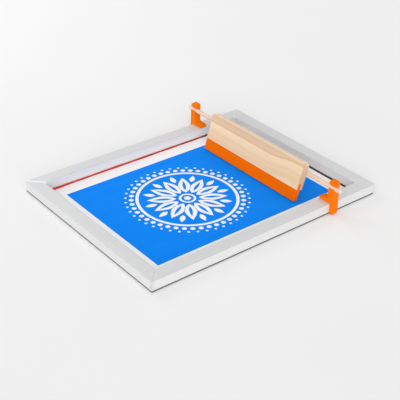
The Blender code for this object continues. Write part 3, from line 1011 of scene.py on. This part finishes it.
def hook_side_view(low, high):
    """Outline of a hook in (depth, z): the leg outside the rail, and the foot on top of it."""
    rest = rail_top + CLEARANCE
    outer = -CLEARANCE - HOOK_LEG
    toe = HOOK_TOE_RADIUS
    fillet = HOOK_FILLET
    points = [
        (outer, low.z - MM),
        (-CLEARANCE, low.z - MM),
        (-CLEARANCE, rest),
        (HOOK_TOE, rest),
    ]
    points += arc(
        (HOOK_TOE - toe, rest + HOOK_FOOT_TIP - toe), toe, 0.0, 85.0, EDGE_SEGMENTS)
    points += arc(
        (HOOK_INNER_FACE + fillet, rest + HOOK_FOOT_ROOT + fillet), fillet, -95.0, -180.0,
        EDGE_SEGMENTS)
    points += [(HOOK_INNER_FACE, high.z + MM), (outer, high.z + MM)]
    return points


def build_hooks():
    """The two hooks: each is its side view, cut to its front view."""
    material = printed_plastic()
    face = frame_width / 2
    for name, side in (("near", -1), ("far", 1)):
        low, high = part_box(f"dowel_hook_{name}")

        def place_side(a, b, along, side=side):
            return (along, side * (face - a), b)

        def place_front(a, b, along, side=side):
            return (a, side * along, b)

        body = prism(hook_side_view(low, high), low.x - MM, high.x + MM, place_side)
        hook = add_object(f"{name}_hook", body, material)
        inner = face - HOOK_TOE - MM
        outer = face + HOOK_LEG + MM
        cutter = prism(hook_front_view(low, high), inner, outer, place_front)
        combine(hook, add_object("hook_outline", cutter), "INTERSECT")
        finish_edges(hook, HOOK_EDGE_RADIUS, angle=28.0)
        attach(hook, "rest")
        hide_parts(f"dowel_hook_{name}")


# ---------------------------------------------------------------- squeegee

def squeegee_matrix():
    """Frame of the squeegee: local x is u, local z is w, and the origin is under the blade.

    The rear edge of the blade stands on the film, and the back of the handle on the dowel.
    """
    rear = BLADE_THICKNESS / 2 - BLADE_SET_FORWARD
    z = film_high.z + CLEARANCE + rear * math.sin(SQUEEGEE_LEAN)
    reach = (dowel_centre.z - z) * math.sin(SQUEEGEE_LEAN)
    reach += HANDLE_THICKNESS / 2 + dowel_radius + CLEARANCE
    x = dowel_centre.x - reach / math.cos(SQUEEGEE_LEAN)
    place = Matrix.Translation((x, (handle_low.y + handle_high.y) / 2, z))
    return place @ Matrix.Rotation(SQUEEGEE_LEAN, 4, "Y")


def screw_profile(play):
    """Countersunk screw from its tip to its flush head, as (u, radius), grown by some play."""
    back = HANDLE_THICKNESS / 2
    return [
        (back - SCREW_LENGTH - play, SCREW_SHANK_RADIUS + play),
        (back - SCREW_HEAD_DEPTH - play, SCREW_SHANK_RADIUS + play),
        (back - SCREW_HEAD_RIM, SCREW_HEAD_RADIUS + play),
        (back + play, SCREW_HEAD_RADIUS + play),
    ]


def round_corners(item, low, high, radius, place):
    """Cut a squeegee part to its length, and round its corners at the heights low and high.

    A height that lies beyond the part leaves its corners at that side square.
    """
    half = squeegee_length / 2
    outline = rounded_rectangle((-half, low), (half, high), radius, SQUEEGEE_CORNER_SEGMENTS)
    plate = prism(outline, -HANDLE_THICKNESS, HANDLE_THICKNESS, along_x)
    combine(item, add_object("plate", plate, place=place), "INTERSECT")


def build_handle(place, spots):
    """Board with a groove for the blade along its underside, and a hole for each screw."""
    outer = HANDLE_THICKNESS / 2
    low = -BLADE_SET_FORWARD - BLADE_THICKNESS / 2 - CLEARANCE / 2
    high = -BLADE_SET_FORWARD + BLADE_THICKNESS / 2 + CLEARANCE / 2
    radius = HANDLE_EDGE_RADIUS
    section = [(high, GROOVE_TOP), (high, HANDLE_BOTTOM), (outer, HANDLE_BOTTOM)]
    section += arc((outer - radius, HANDLE_TOP - radius), radius, 0.0, 90.0, EDGE_SEGMENTS)
    section += arc((-outer + radius, HANDLE_TOP - radius), radius, 90.0, 180.0, EDGE_SEGMENTS)
    section += [(-outer, HANDLE_BOTTOM), (low, HANDLE_BOTTOM), (low, GROOVE_TOP)]
    half = squeegee_length / 2 + MM
    handle = add_object("wooden_handle", prism(section, -half, half, along_y), pine(), place)
    below = HANDLE_BOTTOM - HANDLE_CORNER_RADIUS - MM
    round_corners(handle, below, HANDLE_TOP, HANDLE_CORNER_RADIUS, place)
    for spot in spots:
        hole = turned(screw_profile(CLEARANCE / 2), SCREW_HOLE_SIDES, "X")
        combine(handle, add_object("screw_hole", hole, place=spot), "DIFFERENCE")
    finish_edges(handle, HANDLE_SOFTENING, angle=40.0)
    return handle


def build_blade(place):
    """Rubber strip with round lower corners."""
    half = squeegee_length / 2 + MM
    front = -BLADE_SET_FORWARD - BLADE_THICKNESS / 2
    rear = -BLADE_SET_FORWARD + BLADE_THICKNESS / 2
    section = rounded_rectangle(
        (front, 0.0), (rear, BLADE_HEIGHT), BLADE_EDGE_RADIUS, BLADE_EDGE_SEGMENTS)
    strip = prism(section, -half, half, along_y)
    blade = add_object("rubber_blade", strip, blade_rubber(), place)
    above = BLADE_HEIGHT + BLADE_CORNER_RADIUS + MM
    round_corners(blade, 0.0, above, BLADE_CORNER_RADIUS, place)
    finish_edges(blade, BLADE_END_SOFTENING, segments=2, angle=50.0)
    return blade


def build_screw(number, spot, material):
    """Countersunk screw with a cross recess."""
    shape = turned(screw_profile(0.0), SCREW_SIDES, "X")
    screw = add_object(f"countersunk_screw_{number}", shape, material, spot)
    back = HANDLE_THICKNESS / 2
    arms = ((RECESS_REACH, RECESS_HALF_WIDTH), (RECESS_HALF_WIDTH, RECESS_REACH))
    for a, b in arms:
        outline = [(-a, -b), (a, -b), (a, b), (-a, b)]
        recess = prism(outline, back - RECESS_DEPTH, back + MM, along_x)
        combine(screw, add_object("recess", recess, place=spot), "DIFFERENCE")
    finish_edges(screw, SCREW_SOFTENING, segments=2)
    return screw


def build_squeegee():
    """The handle, blade and screws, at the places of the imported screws."""
    place = squeegee_matrix()
    spots = []
    for number in SCREW_NUMBERS:
        low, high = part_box(f"blade_screw_{number}")
        y = (low.y + high.y) / 2 - place.translation.y
        spots.append(place @ Matrix.Translation((0.0, y, SCREW_HEIGHT)))
    parts = [
        (build_handle(place, spots), "squeegee_handle", "handle_pine"),
        (build_blade(place), "squeegee_blade", "blade_rubber"),
    ]
    steel = zinc()
    for number, spot in zip(SCREW_NUMBERS, spots):
        parts.append((build_screw(number, spot, steel), f"blade_screw_{number}", "screw_steel"))
    for piece, node, slot_name in parts:
        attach(piece, "squeegee")
        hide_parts(node)


build_camera()
build_floor()
build_light()
build_rails()
finish_corner_keys()
build_glue()
build_mesh()
build_film()
build_dowel()
build_hooks()
build_squeegee()
